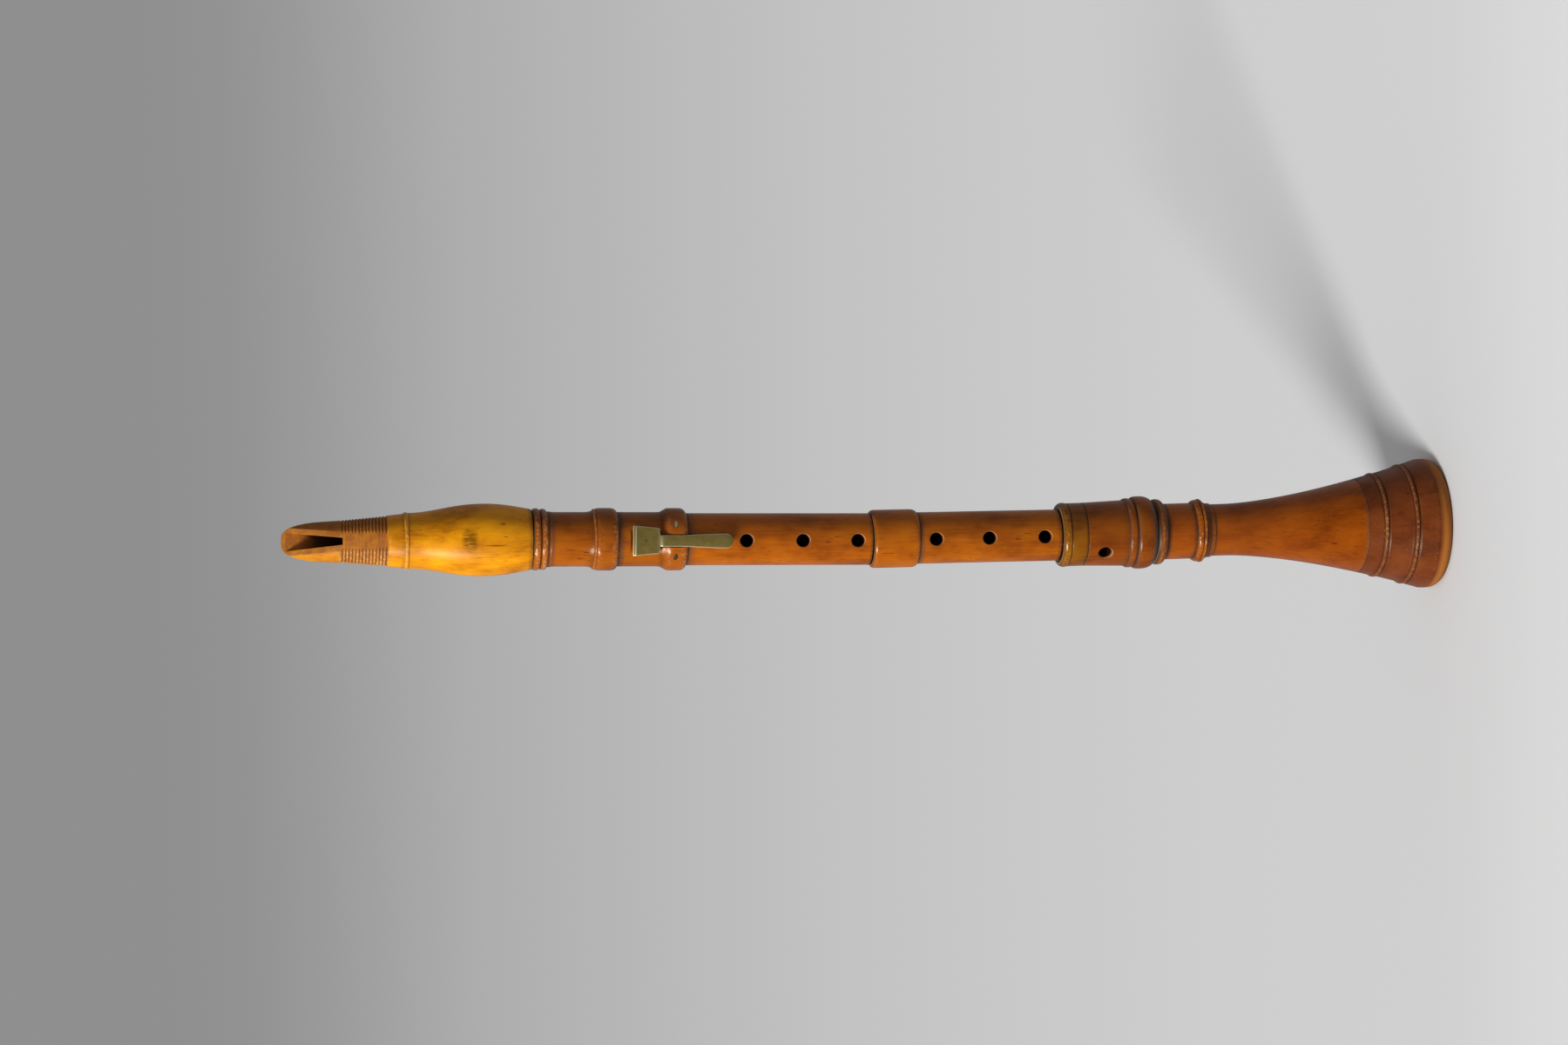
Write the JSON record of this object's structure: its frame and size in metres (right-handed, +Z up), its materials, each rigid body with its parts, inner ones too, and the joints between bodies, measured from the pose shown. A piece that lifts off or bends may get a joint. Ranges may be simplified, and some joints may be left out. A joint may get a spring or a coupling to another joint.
{
  "type": "clarinet",
  "caption": "Straight boxwood clarinet in sections that pull apart, with turned rings and beads, a flared bell, a beaked mouthpiece in one with its barrel, and sprung brass flap keys.",
  "frame": {"origin": "middle of the bell's rim face, on the floor that the clarinet stands on", "axes": "+Z up the bore to the mouthpiece's tip, -Y to the front with the finger holes and the reed table, +X to the viewer's right when the front is seen"},
  "size_m": [0.0608, 0.0608, 0.54],
  "materials": {
    "stained_boxwood": "stained orange-brown, oiled and worn",
    "red_boxwood": "stained red-brown, oiled and worn",
    "pale_boxwood": "golden, oiled and worn",
    "aged_brass": "hammered and filed, dull with age",
    "kid_leather": "soft and matt",
    "waxed_thread": "wound close and waxed"
  },
  "bodies": {
    "bell": {"bell": "stained_boxwood", "bell_rim": "red_boxwood"},
    "bell_tenon_carrier": {"bell_tenon_lapping": "waxed_thread"},
    "foot": {"foot_joint": "stained_boxwood", "foot_socket_collar": "pale_boxwood"},
    "foot_tenon_carrier": {"foot_tenon_lapping": "waxed_thread"},
    "lower": {"lower_joint": "stained_boxwood"},
    "middle_tenon_carrier": {"middle_tenon_lapping": "waxed_thread"},
    "upper": {"upper_joint": "stained_boxwood", "speaker_tube": "aged_brass", "front_key_pin": "aged_brass", "speaker_key_pin": "aged_brass"},
    "top_tenon_carrier": {"top_tenon_lapping": "waxed_thread"},
    "mouthpiece": {"mouthpiece_barrel": "pale_boxwood"},
    "front_key": {"front_key": "aged_brass", "front_key_pad": "kid_leather", "front_key_spring": "aged_brass", "front_key_spring_rivet": "aged_brass"},
    "speaker_key": {"speaker_key": "aged_brass", "speaker_key_pad": "kid_leather", "speaker_key_spring": "aged_brass", "speaker_key_spring_rivet": "aged_brass"}
  },
  "joints": [
    {"name": "bell_pull", "type": "slide", "parent": "bell", "child": "bell_tenon_carrier", "axis": [0, 0, 1], "range_m": [0, 0.02]},
    {"name": "bell_turn", "type": "hinge", "parent": "bell_tenon_carrier", "child": "foot", "pos_m": [0, 0, 0.1377], "axis": [0, 0, 1], "continuous": true},
    {"name": "foot_pull", "type": "slide", "parent": "foot", "child": "foot_tenon_carrier", "axis": [0.011, 0, 0.9999], "range_m": [0, 0.017]},
    {"name": "foot_turn", "type": "hinge", "parent": "foot_tenon_carrier", "child": "lower", "pos_m": [0, 0, 0.18303], "axis": [0.011, 0, 0.9999], "continuous": true},
    {"name": "middle_pull", "type": "slide", "parent": "lower", "child": "middle_tenon_carrier", "axis": [0.0309, 0, 0.9995], "range_m": [0, 0.0175]},
    {"name": "middle_turn", "type": "hinge", "parent": "middle_tenon_carrier", "child": "upper", "pos_m": [0.00098, 0, 0.27196], "axis": [0.0309, 0, 0.9995], "continuous": true},
    {"name": "mouthpiece_turn", "type": "hinge", "parent": "upper", "child": "top_tenon_carrier", "pos_m": [0.0058, 0, 0.42805], "axis": [0.0309, 0, 0.9995], "continuous": true},
    {"name": "mouthpiece_pull", "type": "slide", "parent": "top_tenon_carrier", "child": "mouthpiece", "axis": [0.0309, 0, 0.9995], "range_m": [0, 0.022]},
    {"name": "front_key_hinge", "type": "hinge", "parent": "upper", "child": "front_key", "pos_m": [0.0038, -0.012, 0.36322], "axis": [0.9995, 0, -0.0309], "range_deg": [0, 6], "stiffness_Nm_per_rad": 0.05, "springref_deg": -8.59, "deforming": ["front_key_spring"]},
    {"name": "speaker_key_hinge", "type": "hinge", "parent": "upper", "child": "speaker_key", "pos_m": [0.00477, 0.012, 0.3948], "axis": [-0.9995, 0, 0.0309], "range_deg": [0, 6.5], "stiffness_Nm_per_rad": 0.05, "springref_deg": -8.59, "deforming": ["speaker_key_spring"]}
  ]
}
